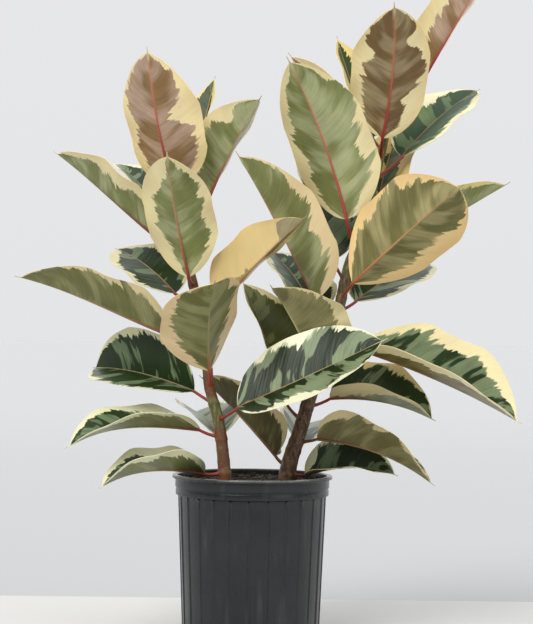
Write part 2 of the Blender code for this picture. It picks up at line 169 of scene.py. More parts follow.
# Tones of the green part (deep and pale) on the face above (Up) and beneath (Down), of margin and of midrib.
leafLooks = {
    "pink": dict(
        deepUp=(96, 74, 52), paleUp=(120, 96, 72), deepDown=(138, 108, 70), paleDown=(182, 154, 132),
        edge=(246, 228, 174), rim=(242, 212, 152), rib=(150, 34, 40), ribTip=(200, 128, 100)),
    "brown": dict(
        deepUp=(62, 66, 38), paleUp=(104, 104, 70), deepDown=(112, 88, 52), paleDown=(152, 134, 100),
        edge=(240, 224, 172), rim=(232, 202, 136), rib=(142, 36, 34), ribTip=(188, 124, 92)),
    "young": dict(
        deepUp=(52, 72, 34), paleUp=(92, 108, 56), deepDown=(140, 104, 66), paleDown=(160, 126, 86),
        edge=(240, 218, 138), rim=(230, 204, 120), rib=(150, 90, 60), ribTip=(200, 160, 100)),
    "sage": dict(
        deepUp=(50, 68, 38), paleUp=(112, 132, 96), deepDown=(122, 128, 76), paleDown=(162, 166, 122),
        edge=(236, 222, 172), rim=(234, 212, 156), rib=(152, 52, 44), ribTip=(176, 136, 104)),
    "olive": dict(
        deepUp=(44, 58, 34), paleUp=(104, 120, 84), deepDown=(108, 110, 62), paleDown=(142, 142, 96),
        edge=(230, 214, 168), rim=(220, 200, 146), rib=(128, 72, 52), ribTip=(150, 128, 92)),
    # The dusk look is the olive look made darker: painted shade for the low leaves under the others.
    "dusk": dict(
        deepUp=(36, 50, 30), paleUp=(84, 100, 70), deepDown=(104, 98, 60), paleDown=(134, 128, 86),
        edge=(214, 198, 150), rim=(202, 182, 132), rib=(112, 70, 50), ribTip=(150, 126, 92)),
    "honey": dict(
        deepUp=(48, 66, 34), paleUp=(96, 112, 70), deepDown=(104, 104, 58), paleDown=(150, 142, 98),
        edge=(230, 204, 142), rim=(226, 188, 122), rib=(164, 84, 52), ribTip=(178, 140, 92)),
    "dark": dict(
        deepUp=(34, 52, 22), paleUp=(104, 122, 88), deepDown=(112, 116, 70), paleDown=(142, 144, 98),
        edge=(232, 230, 190), rim=(222, 220, 174), rib=(150, 60, 50), ribTip=(160, 146, 106)),
    "grey": dict(
        deepUp=(36, 54, 24), paleUp=(122, 136, 102), deepDown=(110, 98, 58), paleDown=(138, 128, 84),
        edge=(240, 232, 196), rim=(234, 224, 174), rib=(150, 60, 50), ribTip=(160, 146, 104)),
}
# Each line holds the leaf's shape: the row of its node on the stem, its blade's base and tip as column, row
# and depth, then width and bends in millimetres and degrees. Its look follows: plus and minus are how far it
# is green from midrib to margin on either half, in even steps from base to tip.
leftLeaves = [
    dict(node=190, base=(174, 190, -40), tip=(147, 47, -110), width=128, fold=20, arch=2, sweep=7,
         look="pink", blotch=0.45, red=0.9, redEnd=0.95,
         plus=(.6, .66, .71, .74, .76, .8, .88, .95, .97, .75, .4),
         minus=(.6, .7, .75, .8, .84, .3, .6, .68, .72, .6, .35)),
    dict(node=285, base=(189, 277, -45), tip=(167, 152, -140), width=107, fold=20, sweep=7, belly=0.53,
         look="sage", blotch=0.42, red=0.7, redEnd=0.5,
         plus=(.2, .3, .42, .58, .6, .62, .63, .3, .22, .28, .3),
         minus=(.3, .5, .65, .75, .65, .72, .76, .78, .62, .5, .3)),
    dict(node=256, base=(150, 231, -10), tip=(54, 151, 10), width=122, roll=12, fold=34, arch=-1,
         hook=2, look="sage", blotch=0.4, tones=dict(rib=(128, 72, 56), ribTip=(140, 116, 84)),
         plus=(.6, .6, .5, .6, .7, .6), minus=(.6, .65, .7, .6, .42, .62, .7, .72, .75, .6, .4)),
    dict(node=215, base=(207, 200, -25), tip=(262, 95, -70), width=110, roll=-18, fold=50, arch=4,
         look="sage", blotch=0.4, plus=(.6, .62, .65, .7, .75, .8, .75, .48, .72, .8, .5),
         minus=(.7, .7, .7, .7, .7, .7)),
    dict(node=172, base=(188, 170, 5), tip=(215, 76, 40), width=56, fold=38, arch=-4, look="young",
         blotch=0.3, plus=(.9, .9, .9, .7, .3, .1), minus=(.95, .95, .95, .95, .9, .6)),
    dict(node=245, base=(172, 230, 20), tip=(114, 162, 110), width=105, look="dark", blotch=0.5),
    dict(node=303, base=(175, 293, 10), tip=(115, 248, 110), width=96, roll=-20, fold=14, look="dark",
         blotch=0.22, red=0.8, tones=dict(edge=(230, 220, 176)),
         plus=(.9, .92, .92, .9, .9, .85, .8, .7, .6, .5, .3),
         minus=(.9, .9, .92, .92, .9, .85, .75, .6, .4, .2, .1)),
    dict(node=347, base=(166, 333, -12), tip=(15, 276, -20), width=110, roll=20, fold=40, arch=0,
         hook=5, belly=0.47, look="olive", blotch=0.42, veil=0.3,
         tones=dict(deepDown=(110, 112, 66), paleDown=(144, 142, 98)), plus=(.8, .8, .85, .9, .9, .85),
         minus=(.6, .78, .84, .88, .9, .93, .93, .93, .92, .85, .5)),
    dict(node=388, base=(209, 370, -45), tip=(215, 280, -180), width=132, roll=25, fold=30, belly=0.55,
         look="olive", blotch=0.5, redEnd=0.3, veil=0.35,
         tones=dict(edge=(234, 210, 166), rim=(228, 194, 134), rib=(168, 72, 48), ribTip=(158, 146, 104)),
         plus=(.4, .5, .6, .68, .72, .78, .8, .82, .85, .85, .6),
         minus=(.5, .5, .6, .6, .7, .8, .85, .85, .85, .8, .5)),
    dict(node=322, base=(220, 302, -32), tip=(306, 216, -98), width=96, roll=-29, fold=50, arch=3,
         belly=0.44, look="honey", blotch=0.6, veil=0.1,
         tones=dict(deepDown=(132, 118, 84), paleDown=(158, 148, 112)),
         plus=(.35, .3, .12, .0, .0, .0, .0, .1, .95, 1, 1), minus=(.6, .5, .4, .4, .6, 1)),
    dict(node=404, base=(194, 391, 8), tip=(93, 368, 110), width=130, roll=-55, fold=50, arch=18,
         belly=0.53, look="dark", blotch=0.34, veil=0.1,
         plus=(.95, .93, .92, .9, .88, .86, .84, .88, .9, .85, .7),
         minus=(.9, .93, .95, .95, .93, .92, .9, .9, .88, .8, .7)),
    dict(node=438, base=(200, 429, -12), tip=(65, 449, -40), width=114, roll=4, fold=30, arch=12,
         hook=6, twist=-20, belly=0.57, look="dark", blotch=0.3, veil=0.1,
         plus=(.5, .6, .7, .6, .7, .8, .8, .8, .8, .75, .5),
         minus=(.5, .7, .85, .85, .8, .8, .78, .7, .7, .8, .8)),
    dict(node=473, base=(204, 473, -20), tip=(98, 489, -60), width=124, fold=32, arch=12, hook=3,
         look="dark", blotch=0.15, veil=0.0, plus=(.05, .05, .1, .15, .3, .6, .75, .7, .65, .5, .3),
         minus=(.3, .5, .7, .75, .75, .8, .8, .8, .75, .7, .5)),
    dict(node=440, base=(219, 437, 52), tip=(193, 412, 213), width=104, fold=35, look="grey",
         blotch=0.7),
    dict(node=420, base=(238, 407, -75), tip=(388, 338, -125), width=130, roll=48, fold=24, arch=-2,
         belly=0.53, look="grey", blotch=0.36, red=0.8,
         tones=dict(deepUp=(24, 40, 12), edge=(234, 232, 200), rim=(232, 228, 190)),
         plus=(.9, .93, .85, .72, .72, .85, .92, .93, .95, .95, .8),
         minus=(.92, .95, .93, .9, .78, .7, .85, .93, .92, .9, .8)),
]
rightLeaves = [
    dict(node=135, base=(420, 84, 5), tip=(492, -36, -50), width=98, roll=-21, fold=50, arch=0,
         look="pink", blotch=0.5, red=0.8, redEnd=1.0,
         plus=(.2, .3, .45, .5, .55, .6, .6, .6, .6, .5, .4), minus=(.7, .7, .6, .6, .6, .6)),
    dict(node=160, base=(382, 138, -35), tip=(394, 2, -100), width=118, fold=22, sweep=-9, belly=0.52,
         look="brown", blotch=0.45, red=0.8, redEnd=0.85,
         plus=(.55, .68, .78, .71, .73, .78, .53, .8, .88, .75, .4),
         minus=(.3, .55, .45, .46, .63, .9, .8, .5, .93, .9, .5)),
    dict(node=150, base=(373, 137, 16), tip=(337, 36, 62), width=92, roll=2, fold=28, arch=-4,
         look="young", blotch=0.2, plus=(.45, .5, .5, .45, .4, .2), minus=(.5, .5, .55, .55, .6, .3)),
    dict(node=195, base=(359, 181, 0), tip=(288, 52, -4), width=92, roll=25, fold=30, look="pink",
         plus=(.6, .6, .6, .5, .4, .3), minus=(.6, .6, .6, .5, .4, .3)),
    dict(node=250, base=(347, 219, -40), tip=(287, 56, -100), width=134, roll=28, fold=22, sweep=-3,
         look="sage", blotch=0.5, red=0.8, redEnd=0.9,
         tones=dict(ribTip=(196, 132, 104), rib=(168, 60, 56)),
         plus=(.5, .62, .68, .72, .69, .7, .8, .75, .75, .45, .3),
         minus=(.5, .56, .63, .75, .65, .78, .92, .95, .88, .9, .6)),
    dict(node=180, base=(402, 156, 0), tip=(480, 89, 110), width=96, roll=17, fold=20, look="grey",
         blotch=0.4, red=0.8, tones=dict(deepUp=(46, 72, 42), paleUp=(98, 122, 78)),
         plus=(.8, .85, .85, .8, .78, .75, .75, .72, .7, .65, .4),
         minus=(.8, .85, .9, .9, .85, .7, .6, .6, .8, .85, .5)),
    dict(node=298, base=(353, 283, -50), tip=(464, 184, -150), width=140, roll=-56, fold=30, belly=0.58,
         look="honey", blotch=0.45, red=0.6, redEnd=0.4, veil=0.6,
         tones=dict(deepDown=(108, 104, 60), paleDown=(158, 150, 104), edge=(238, 210, 150),
                    rim=(232, 186, 120)),
         plus=(.6, .7, .72, .74, .75, .8, .93, .75, .8, .85, .6),
         minus=(.6, .65, .7, .7, .65, .6, .65, .75, .8, .85, .6)),
    dict(node=285, base=(375, 262, 20), tip=(510, 182, -10), width=100, roll=-10, fold=55, arch=0,
         look="sage", blotch=0.5, tones=dict(rib=(128, 96, 70), edge=(230, 214, 140))),
    dict(node=325, base=(315, 300, -16), tip=(236, 151, -45), width=130, roll=25, fold=52, arch=4,
         look="sage", blotch=0.42,
         tones=dict(edge=(232, 208, 162), rib=(130, 84, 60), deepDown=(116, 120, 70)),
         plus=(.6, .7, .7, .7, .7, .6), minus=(.6, .65, .7, .75, .6, .72, .8, .86, .86, .8, .4)),
    dict(node=282, base=(334, 259, 18), tip=(295, 147, 115), width=104, roll=4, fold=40, look="dark",
         blotch=0.3, plus=(.95, .95, .95, .9, .9, .9), minus=(.9, .9, .9, .85, .85, .8)),
    dict(node=214, base=(377, 211, 22), tip=(401, 128, 90), width=100, fold=20, look="young",
         blotch=0.3, plus=(.9, .8, .6, .5, .5, .4), minus=(.3, .2, .1, .05, .05, .05)),
    dict(node=312, base=(355, 301, 0), tip=(431, 262, 130), width=112, roll=25, fold=22, look="grey",
         blotch=0.45, red=0.8, minus=(.7, .75, .7, .75, .7, .6)),
    dict(node=340, base=(315, 315, 20), tip=(270, 251, 130), width=100, look="dark", blotch=0.15),
    dict(node=422, base=(287, 404, 0), tip=(241, 279, 34), width=118, roll=-12, fold=40, arch=4,
         look="olive", blotch=0.4, veil=0.4,
         tones=dict(deepDown=(98, 102, 58), paleDown=(132, 134, 88), deepUp=(78, 84, 44),
                    paleUp=(112, 118, 74)),
         plus=(.8, .9, .95, .95, .95, .93, .9, .85, .75, .7, .4), minus=(.8, .85, .9, .9, .85, .7)),
    dict(node=385, base=(316, 367, -51), tip=(270, 285, -84), width=148, roll=10, fold=42, arch=4,
         belly=0.4, look="dusk", blotch=0.5,
         tones=dict(edge=(222, 210, 160), rib=(150, 142, 100), ribTip=(170, 162, 120)),
         plus=(.9, .9, .92, .9, .88, .3), minus=(.6, .7, .75, .8, .88, .9, .93, .95, .95, .9, .6)),
    dict(node=358, base=(357, 348, -30), tip=(523, 424, -42), width=136, roll=35, fold=58, arch=8,
         belly=0.57, look="grey", blotch=0.46, tones=dict(edge=(246, 232, 184), rim=(242, 228, 174)),
         plus=(.2, .3, .45, .55, .6, .6, .65, .7, .7, .6, .5),
         minus=(.85, .85, .8, .78, .82, .78, .74, .6, .6, .5, .2)),
    dict(node=408, base=(330, 398, -8), tip=(436, 421, -18), width=116, roll=24, fold=52, arch=12,
         look="dark", blotch=0.25, tones=dict(edge=(212, 196, 142), rim=(202, 186, 132)),
         plus=(.1, .1, .15, .25, .45, .65, .75, .75, .75, .7, .5),
         minus=(.9, .92, .93, .92, .9, .8, .78, .85, .9, .85, .6)),
    dict(node=442, base=(317, 438, -30), tip=(435, 486, -60), width=106, roll=-26, fold=40, arch=14,
         twist=22, belly=0.38, look="dusk", blotch=0.42,
         plus=(.55, .7, .82, .92, .95, .96, .95, .9, .78, .75, .5), minus=(.85, .8, .85, .8, .85, .8)),
    dict(node=474, base=(305, 474, 2), tip=(398, 476, 5), width=80, roll=40, fold=50, arch=16,
         look="dark", blotch=0.35, plus=(.35, .8, .9, .92, .9, .8),
         minus=(.15, .4, .85, .92, .92, .93, .9, .9, .85, .8, .5)),
    dict(node=469, base=(276, 455, 0), tip=(199, 375, 40), width=118, roll=35, fold=35, arch=2,
         belly=0.42, look="dusk", blotch=0.2, tones=dict(deepDown=(80, 76, 48)),
         plus=(.8, .8, .85, .9, .9, .9), minus=(.6, .7, .72, .75, .85, .9, .9, .9, .9, .9, .6)),
    dict(node=450, base=(300, 446, 15), tip=(306, 424, 200), width=100, roll=12, fold=40, look="grey",
         blotch=0.6),
]

# Stem centre lines, as column and row of the photograph, depth and diameter in millimetres, from the soil up.
stemReadings = {
    "stem_left": [
        (225, 486, -12, 19), (224, 464, -12, 18), (221.5, 440, -12, 17), (218, 419, -12, 16.5),
        (212.9, 400, -12, 15.5), (209, 384, -12, 15), (207.5, 370, -12, 15), (204, 345, -12, 15),
        (200, 320, -10, 14.5), (195, 295, -10, 14), (190, 270, -8, 13.5), (185, 240, -6, 13),
        (182, 210, -5, 12), (179, 188, -5, 11), (177, 172, -5, 9),
    ],
    "stem_right": [
        (285, 486, -15, 24), (290.5, 460, -15, 23), (299, 434, -15, 21), (310.5, 395, -14, 19.5),
        (321, 365, -12, 18), (330, 340, -12, 17), (339, 310, -12, 16), (344, 285, -12, 15),
        (349, 265, -12, 15), (356, 245, -12, 14), (364, 220, -12, 14), (370, 200, -12, 13),
        (376, 175, -12, 12), (382, 152, -12, 11), (387, 132, -12, 9),
    ],
}
# The buried end and the two points of the bud: place and diameter in millimetres.
stemEnds = {
    "stem_left": [(-37, -12, 165, 20), (-116, -5, 690, 5), (-117, -5, 704, 1.6)],
    "stem_right": [(39, -15, 165, 26), (192, -12, 752, 5), (195, -12, 766, 1.6)],
}


def fromPhoto(column, row, depth):  # the place, in whole millimetres, of what the photograph shows there
    roll, pitch = math.radians(photoView["roll"]), math.radians(photoView["pitch"])
    across, down = column - photoView["centre"][0], row - photoView["centre"][1]
    x = (across * math.cos(roll) + down * math.sin(roll)) / photoView["focalPixels"]
    y = (down * math.cos(roll) - across * math.sin(roll)) / photoView["focalPixels"]
    reach = (depth - photoView["place"][1]) / (math.cos(pitch) + math.sin(pitch) * y)
    height = photoView["place"][2] + (math.sin(pitch) - math.cos(pitch) * y) * reach
    return round(photoView["place"][0] + x * reach), depth, round(height)


def heightAtRow(name, row):  # the height at which a stem crosses a row of the photograph
    points = stemReadings[name]
    index = max(i for i in range(len(points) - 1) if points[i][1] >= row)
    low, high = points[index], points[index + 1]
    share = (low[1] - row) / (low[1] - high[1])
    return fromPhoto(low[0] + (high[0] - low[0]) * share, row, low[2] + (high[2] - low[2]) * share)[2]


def placeLeaf(line, stemName):
    places = {key: fromPhoto(*line[key]) for key in ("base", "tip")}
    return {**plainLeaf, **line, **places, "node": heightAtRow(stemName, line["node"])}


stemLines = {}
for name, (buried, *bud) in stemEnds.items():
    shown = [(*fromPhoto(column, row, depth), wide) for column, row, depth, wide in stemReadings[name]]
    stemLines[name] = [buried, *shown, *bud]
leftLeaves = [placeLeaf(line, "stem_left") for line in leftLeaves]
rightLeaves = [placeLeaf(line, "stem_right") for line in rightLeaves]


def stemAt(name, height):  # centre and radius on a smooth curve through the stem's points
    points = stemLines[name]
    last = len(points) - 2
    index = max(i for i in range(last + 1) if i == 0 or points[i][2] <= height)
    before, start, end, after = (points[min(max(index + i, 0), last + 1)] for i in (-1, 0, 1, 2))
    t = (height - start[2]) / (end[2] - start[2])
    values = []
    for axis in (0, 1, 3):
        riseIn = (end[axis] - before[axis]) / (end[2] - before[2]) * (end[2] - start[2])
        riseOut = (after[axis] - start[axis]) / (after[2] - start[2]) * (end[2] - start[2])
        values.append(start[axis] * (1 + 2 * t) * (1 - t) ** 2 + riseIn * t * (1 - t) ** 2
                      + end[axis] * t * t * (3 - 2 * t) + riseOut * t * t * (t - 1))
    return Vector((values[0], values[1], height)), values[2] / 2


def leafAxes(leaf):
    along = (Vector(leaf["tip"]) - Vector(leaf["base"])).normalized()
    up = (Vector((0.0, 0.0, 1.0)) - along * along.z).normalized()
    side = along.cross(up)
    roll = math.radians(leaf["roll"])
    return up * math.cos(roll) + side * math.sin(roll), side * math.cos(roll) - up * math.sin(roll)


def midribPoint(leaf, u):
    up, side = leafAxes(leaf)
    straight = Vector(leaf["base"]).lerp(Vector(leaf["tip"]), u)
    bow = leaf["arch"] * 4 * u * (1 - u) + leaf["hook"] * 6.75 * u * u * (1 - u)
    return straight + up * bow + side * (leaf["sweep"] * 4 * u * (1 - u))


def bladeFrame(leaf, u):  # directions along, across and above the blade at u
    up = leafAxes(leaf)[0]
    along = (midribPoint(leaf, u + 0.001) - midribPoint(leaf, u - 0.001)).normalized()
    normal = (up - along * along.dot(up)).normalized()
    across = along.cross(normal)
    turn = math.radians(leaf["twist"] * u)
    return (along, across * math.cos(turn) - normal * math.sin(turn),
            normal * math.cos(turn) + across * math.sin(turn))


def halfWidth(leaf, u):  # an elliptic blade with a short drip tip
    x = min(u / 0.955, 1.0) ** (math.log(0.5) / math.log(leaf["belly"]))
    body = min(1.0, 1.07 * (2 * x) ** 0.55 * (2 * (1 - x)) ** 0.72)
    return leaf["width"] / 2 * max(body, min(0.5 * (1 - u), 0.05), 0.008)


def makeRow(leaf, u):  # what all the points across the blade at u share
    along, across, normal = bladeFrame(leaf, u)
    half = halfWidth(leaf, u)
    angle = math.radians(leaf["fold"] * (1 - leafBuild["foldEase"] * u))
    swell = leafBuild["waveHeight"] * 2 * half / leaf["width"]
    return midribPoint(leaf, u), across, normal, half, angle, swell


def bladePoint(leaf, row, u, v):  # u runs from base to tip, v from one margin to the other
    middle, across, normal, half, angle, swell = row
    shift = leaf["phase"] + (leafBuild["waveHalfShift"] if v > 0 else 0.0)
    wave = math.sin(math.tau * (leafBuild["waveCount"] * u + shift))
    rise = abs(v) * half * math.sin(angle) + swell * v * v * wave
    return middle + across * (v * half * math.cos(angle)) + normal * rise


def makeBlade(bm, leaf, layers):
    rows, columns = leafBuild["rows"], leafBuild["columns"]
    bmesh.ops.create_grid(bm, x_segments=rows, y_segments=columns, size=0.5)
    spacing = [0.6 * i / rows + 0.4 * (0.5 - 0.5 * math.cos(math.pi * i / rows)) for i in range(rows + 1)]
    shared = [makeRow(leaf, u) for u in spacing]
    for vert in bm.verts:
        index = round((vert.co.x + 0.5) * rows)
        u = spacing[index]
        v = 0.0
        if abs(vert.co.y) > 1e-4:
            v = math.copysign(abs(vert.co.y * 2) ** leafBuild["columnPower"], vert.co.y)
        vert.co = bladePoint(leaf, shared[index], u, v) * mm
        vert[layers["along"]] = u
        vert[layers["across"]] = v
        vert[layers["offRib"]] = abs(v) * shared[index][3]
        vert[layers["reach"]] = between(leaf["plus"] if v > 0 else leaf["minus"], u)
        if v == 0.0:
            vert[layers["reach"]] = (between(leaf["plus"], u) + between(leaf["minus"], u)) / 2
        vert[layers["bladeUp"]] = shared[index][2]
    bmesh.ops.reverse_faces(bm, faces=bm.faces)
    bm.normal_update()
    bmesh.ops.solidify(bm, geom=bm.faces[:], thickness=leafBuild["thickness"] * mm)
    bm.normal_update()
    for vert in bm.verts:
        vert[layers["upperSide"]] = float(vert.normal.dot(vert[layers["bladeUp"]]) > 0)


def tubeAlong(bm, centres, radii, sides):  # a closed round tube, as the list of its rings
    rings = []
    turn = None
    for index, (centre, radius) in enumerate(zip(centres, radii)):
        ahead = centres[min(index + 1, len(centres) - 1)]
        behind = centres[max(index - 1, 0)]
        way = (ahead - behind).normalized()
        if turn is None:
            turn = way.to_track_quat("Z", "Y")
        else:
            turn = (turn @ Vector((0, 0, 1))).rotation_difference(way) @ turn
        if not rings:
            ring = bmesh.ops.create_circle(bm, cap_ends=False, segments=sides, radius=1.0)["verts"]
        else:
            copied = bmesh.ops.extrude_edge_only(bm, edges=loopEdges(rings[-1]))["geom"]
            ring = [item for item in copied if isinstance(item, bmesh.types.BMVert)]
            ring = inOrder(ring, rings[-1])
        for number, vert in enumerate(ring):
            angle = math.tau * number / sides
            vert.co = (centre + turn @ Vector((math.cos(angle), math.sin(angle), 0.0)) * radius) * mm
        rings.append(ring)
    for ring in (rings[0], rings[-1]):
        bmesh.ops.contextual_create(bm, geom=loopEdges(ring))
    return rings


def loopEdges(ring):
    members = set(ring)
    return list({edge for vert in ring for edge in vert.link_edges if edge.other_vert(vert) in members})


def inOrder(ring, last):  # each new vertex beside the one that it came from
    fresh = set(ring)
    beside = [[edge.other_vert(vert) for edge in vert.link_edges] for vert in last]
    return [next(vert for vert in near if vert in fresh) for near in beside]


def makeRib(bm, leaf, stemName, layers, colours):  # the petiole, and the raised midrib under the blade
    thick, thin = leafBuild["petioleRadius"], leafBuild["ribTipRadius"]
    node, stemRadius = stemAt(stemName, leaf["node"])
    above = bladeFrame(leaf, 0.0)[2]
    base = midribPoint(leaf, 0.0) - above * thick * 0.8
    way = (base - node).normalized()
    start = node + way * stemRadius * 0.8
    centres, radii, places = [], [], []
    length = (base - start).length
    steps = max(4, round(length / leafBuild["petioleStep"]))
    for i in range(steps):
        share = i / steps
        flare = 1 + leafBuild["flare"] * math.exp(-share * length / leafBuild["flareReach"])
        sag = above * (-leafBuild["petioleSag"] * math.sin(math.pi * share))
        centres.append(start.lerp(base, share) + sag)
        radii.append(thick * flare)
        places.append(-1 + share)
    for i in range(leafBuild["ribRows"] + 1):
        u = leafBuild["ribEnd"] * i / leafBuild["ribRows"]
        radius = thin + (thick - thin) * (1 - u) ** leafBuild["ribTaper"]
        centres.append(midribPoint(leaf, u) - bladeFrame(leaf, u)[2] * (radius - leafBuild["ribSink"]))
        radii.append(radius)
        places.append(u)
    for ring, place in zip(tubeAlong(bm, centres, radii, leafBuild["ribSides"]), places):
        for vert in ring:
            vert[layers["along"]] = place
            vert[layers["ribPart"]] = 1.0
            vert[colours["ribTone"]] = (*ribColour(leaf, place), 1)


def ribColour(leaf, place):  # red near the stem, paler outwards, the margin's tone at the very tip
    tones = leaf["tones"]
    redness = 1 - smoothStep(-0.1, leaf["redEnd"], place)
    shade = blend(tone(*tones["ribTip"]), tone(*tones["rib"]), redness)
    return blend(shade, tone(*tones["edge"]), smoothStep(0.86, 0.95, place))


def makeLeaf(line, name, nodeName, stemName, index):
    leaf = {**line, "phase": index * leafBuild["wavePhaseStep"] % 1.0}
    leaf["tones"] = {**leafLooks[leaf["look"]], **leaf["tones"]}
    bm = bmesh.new()
    layers = {key: bm.verts.layers.float.new(key) for key in leafBuild["measures"]}
    layers["bladeUp"] = bm.verts.layers.float_vector.new("bladeUp")
    colours = {key: bm.verts.layers.float_color.new(key) for key in leafBuild["tones"]}
    makeBlade(bm, leaf, layers)
    tones = leaf["tones"]
    for vert in bm.verts:
        side = "Up" if vert[layers["upperSide"]] > 0.5 else "Down"
        vert[colours["deepTone"]] = (*tone(*tones["deep" + side]), 1)
        vert[colours["paleTone"]] = (*tone(*tones["pale" + side]), 1)
        vert[colours["edgeTone"]] = (*tone(*tones["edge"]), 1)
        vert[colours["rimTone"]] = (*tone(*tones["rim"]), 1)
        vert[colours["ribTone"]] = (*ribColour(leaf, vert[layers["along"]]), 1)
    makeRib(bm, leaf, stemName, layers, colours)
    for vert in bm.verts:
        vert[layers["leafSeed"]] = index * 1.7 + (30.0 if stemName == "stem_right" else 0.0)
        vert[layers["blotch"]] = leaf["blotch"]
        vert[layers["redness"]] = leaf["red"]
        vert[layers["veil"]] = leaf["veil"]
    bm.verts.layers.float_vector.remove(layers["bladeUp"])
    return addPiece(name, bm, leafSkin, nodeName, smooth=60)


def makeLeafSkin():
    desk = NodeDesk("leafSkin")
    u, v = desk.attribute("along"), desk.attribute("across")
    seed, reach = desk.attribute("leafSeed"), desk.attribute("reach")
    upperSide, ribPart = desk.attribute("upperSide"), desk.attribute("ribPart")
    offRib = desk.attribute("offRib")
    beneath = desk.calc("SUBTRACT", 1.0, upperSide)
    away = desk.calc("ABSOLUTE", v)
    half = desk.calc("MULTIPLY_ADD", desk.calc("SIGN", v), 4.3, seed)
    vein = desk.calc("SUBTRACT", u, desk.calc("MULTIPLY", desk.calc("POWER", away, 1.3), 0.17))

    def alongVeins(count, spread, shift=0.0, detail=2.0):  # noise stretched along the side veins
        place = desk.vector(desk.calc("MULTIPLY", vein, count), desk.calc("ADD", half, shift),
                            desk.calc("MULTIPLY", away, spread))
        return desk.calc("SUBTRACT", desk.cloud(place, detail=detail), 0.5)

    lobes, teeth, fringe = alongVeins(8.0, 0.8, detail=1.0), alongVeins(30.0, 1.6), alongVeins(95.0, 5.0)
    streak = alongVeins(75.0, 2.2, 3.0, detail=3.0)

    # green part against the margin, feathered along the veins, with a thin half-green layer outside it
    border = desk.calc("MULTIPLY_ADD", lobes, 0.62, reach)
    border = desk.calc("MULTIPLY_ADD", teeth, 0.4, border)
    border = desk.calc("MULTIPLY_ADD", fringe, 0.2, border)
    depth = desk.calc("SUBTRACT", border, away)
    green = desk.ramp(depth, -0.012, 0.022)
    veil = desk.calc("MULTIPLY_ADD", alongVeins(17.0, 1.2, 21.0), 0.5, depth)
    veil = desk.calc("MULTIPLY", desk.ramp(veil, -0.012, 0.03), desk.attribute("veil"))

    # paler patches inside the green part, crisp above and soft beneath
    patch = desk.calc("MULTIPLY_ADD", teeth, 0.3, alongVeins(7.0, 0.9, 9.0, detail=1.0))
    level = desk.calc("MULTIPLY_ADD", desk.attribute("blotch"), -0.34, 0.17)
    soft = desk.calc("MULTIPLY_ADD", beneath, 0.09, 0.018)
    over = desk.calc("SUBTRACT", patch, level)
    pale = desk.ramp(over, desk.calc("MULTIPLY", soft, -1.0), soft)
    deepTone, paleTone = desk.attribute("deepTone", "Color"), desk.attribute("paleTone", "Color")
    inner = desk.mix(pale, deepTone, paleTone)
    inner = desk.mix(desk.ramp(alongVeins(21.0, 1.1, 15.0), 0.02, 0.2, 0.0, 0.35), inner, deepTone)

    # margin, warmer at the rim
    edge = desk.attribute("edgeTone", "Color")
    edge = desk.mix(desk.ramp(away, 0.6, 1.0, 0.0, 0.4), edge, desk.attribute("rimTone", "Color"))
    edge = desk.brighten(edge, desk.calc("MULTIPLY_ADD", lobes, 0.2, 1.0))
    colour = desk.mix(veil, edge, paleTone)
    colour = desk.mix(green, colour, inner)

    # side veins, fine streaks and broad light and shade
    wobble = desk.calc("MULTIPLY_ADD", teeth, 0.006, vein)
    line = desk.calc("FRACT", desk.calc("MULTIPLY", wobble, 40.0))
    ridge = desk.ramp(desk.calc("ABSOLUTE", desk.calc("SUBTRACT", line, 0.5)), 0.0, 0.2, 1.0, 0.0)
    place = desk.vector(desk.calc("MULTIPLY", u, 4.0), half, desk.calc("MULTIPLY", away, 2.0))
    broad = desk.cloud(place, detail=1.0)
    strength = desk.calc("MULTIPLY_ADD", green, 0.88, 0.12)
    shade = desk.calc("MULTIPLY", streak, 0.5)
    shade = desk.calc("MULTIPLY_ADD", ridge, 0.05, shade)
    shade = desk.calc("MULTIPLY_ADD", desk.calc("SUBTRACT", broad, 0.5), 0.7, shade)
    shade = desk.calc("MULTIPLY_ADD", shade, strength, 1.0)
    colour = desk.brighten(colour, shade)

    # midrib: a thin pale line above, a red tube with a faint glow beneath
    ribTone = desk.attribute("ribTone", "Color")
    lineWide = desk.calc("MULTIPLY_ADD", u, -0.5, 1.0)
    topLine = desk.ramp(desk.calc("DIVIDE", offRib, lineWide), 0.6, 1.3, 1.0, 0.0)
    topLine = desk.calc("MULTIPLY", topLine, upperSide)
    colour = desk.mix(topLine, colour, tone(150, 152, 112))
    glow = desk.calc("MULTIPLY", desk.ramp(offRib, 0.8, 4.0, 0.5, 0.0), beneath)
    glow = desk.calc("MULTIPLY", glow, desk.attribute("redness"))
    colour = desk.mix(glow, colour, ribTone)
    colour = desk.mix(ribPart, colour, ribTone)
    desk.put(desk.shader.inputs["Base Color"], colour)
    rough = desk.calc("MULTIPLY_ADD", streak, 0.3, 0.36)
    desk.put(desk.shader.inputs["Roughness"], rough)
    desk.shader.inputs["Specular IOR Level"].default_value = 0.28
    pucker = desk.calc("MULTIPLY", ridge, 0.25)
    pucker = desk.calc("MULTIPLY_ADD", alongVeins(26.0, 1.4, 5.0, detail=1.0), 3.0, pucker)
    height = desk.calc("MULTIPLY_ADD", streak, 0.35, pucker)
    desk.bump(height, 0.28, 0.0008)
    return desk.material


leafSkin = makeLeafSkin()
for number, line in enumerate(leftLeaves):
    makeLeaf(line, f"leafLeft{number + 1:02d}", f"leaf_left_{number + 1:02d}", "stem_left", number)
for number, line in enumerate(rightLeaves):
    makeLeaf(line, f"leafRight{number + 1:02d}", f"leaf_right_{number + 1:02d}", "stem_right", number)
print("leaves made:", len(leftLeaves) + len(rightLeaves))


# stems

stemBuild = dict(
    sides=28, spacing=2.5, lump=0.35, scarHeight=0.55, scarReach=2.2,
    oldScarSpacing=17.0, oldScarSway=3.0, oldScarReach=1.3, oldScarShare=0.6,
)


